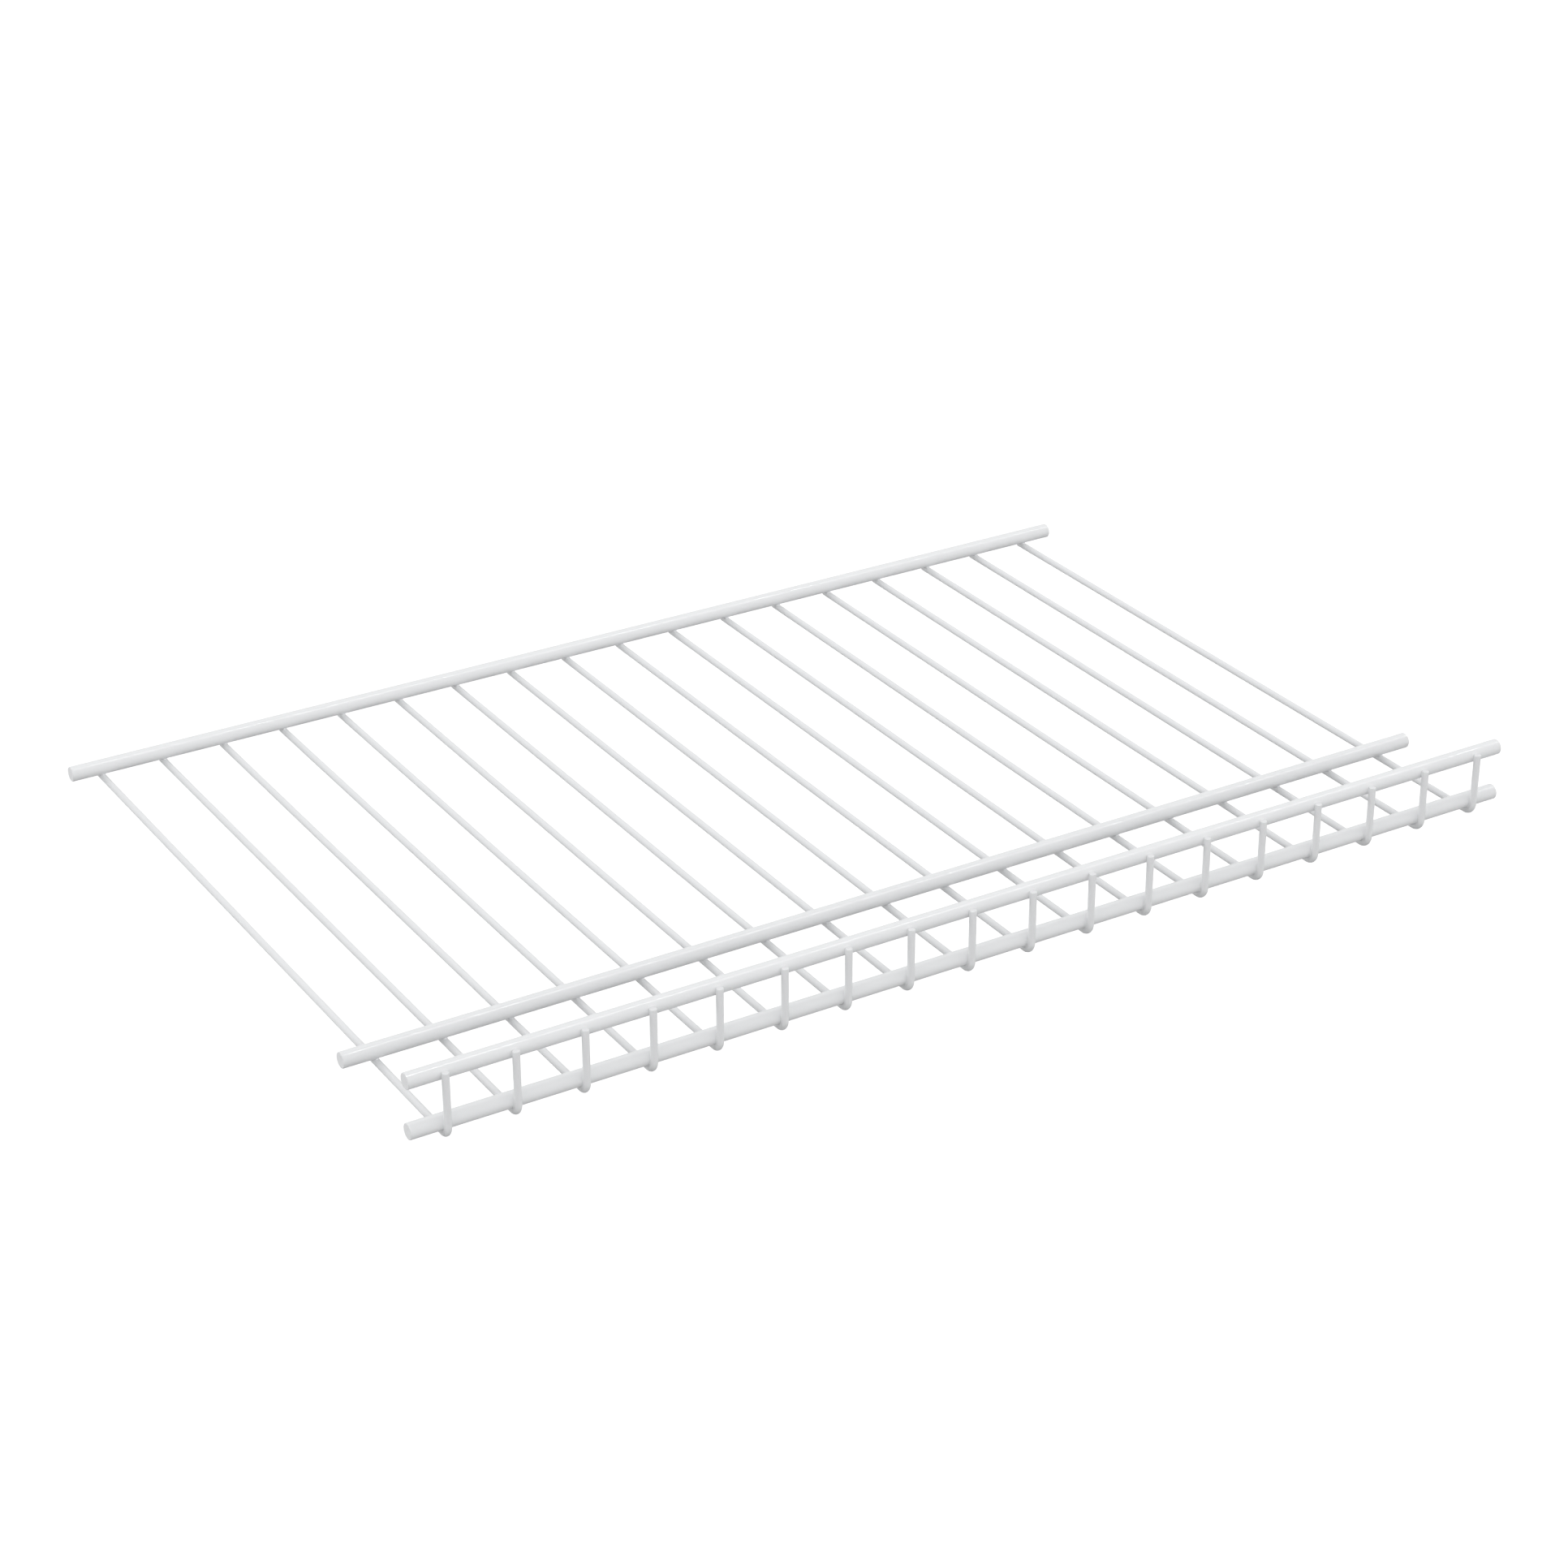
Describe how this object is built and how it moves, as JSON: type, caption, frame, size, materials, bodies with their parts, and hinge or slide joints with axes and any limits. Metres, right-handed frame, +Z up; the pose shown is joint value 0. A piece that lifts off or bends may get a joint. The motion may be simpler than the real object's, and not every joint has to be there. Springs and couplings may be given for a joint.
{
  "type": "wire shelf",
  "caption": "Ventilated wire shelf of a wall-mounted closet system: long steel rods welded over thin cross wires that bend up into a front lip, white powder coated.",
  "frame": {"origin": "middle of the shelf's footprint, level with the undersides of the cross wires, which is where the shelf rests", "axes": "+X along the rods to the right as seen from the front, +Y to the wall, +Z up"},
  "size_m": [0.6, 0.3974, 0.0359],
  "materials": {
    "rod_coat": "white powder coat, satin",
    "wire_coat": "white powder coat, satin"
  },
  "bodies": {
    "root": {"back_rod": "rod_coat", "middle_rod": "rod_coat", "front_bottom_rod": "rod_coat", "front_top_rod": "rod_coat", "cross_wire_01": "wire_coat", "cross_wire_02": "wire_coat", "cross_wire_03": "wire_coat", "cross_wire_04": "wire_coat", "cross_wire_05": "wire_coat", "cross_wire_06": "wire_coat", "cross_wire_07": "wire_coat", "cross_wire_08": "wire_coat", "cross_wire_09": "wire_coat", "cross_wire_10": "wire_coat", "cross_wire_11": "wire_coat", "cross_wire_12": "wire_coat", "cross_wire_13": "wire_coat", "cross_wire_14": "wire_coat", "cross_wire_15": "wire_coat", "cross_wire_16": "wire_coat", "cross_wire_17": "wire_coat", "cross_wire_18": "wire_coat"}
  },
  "joints": []
}
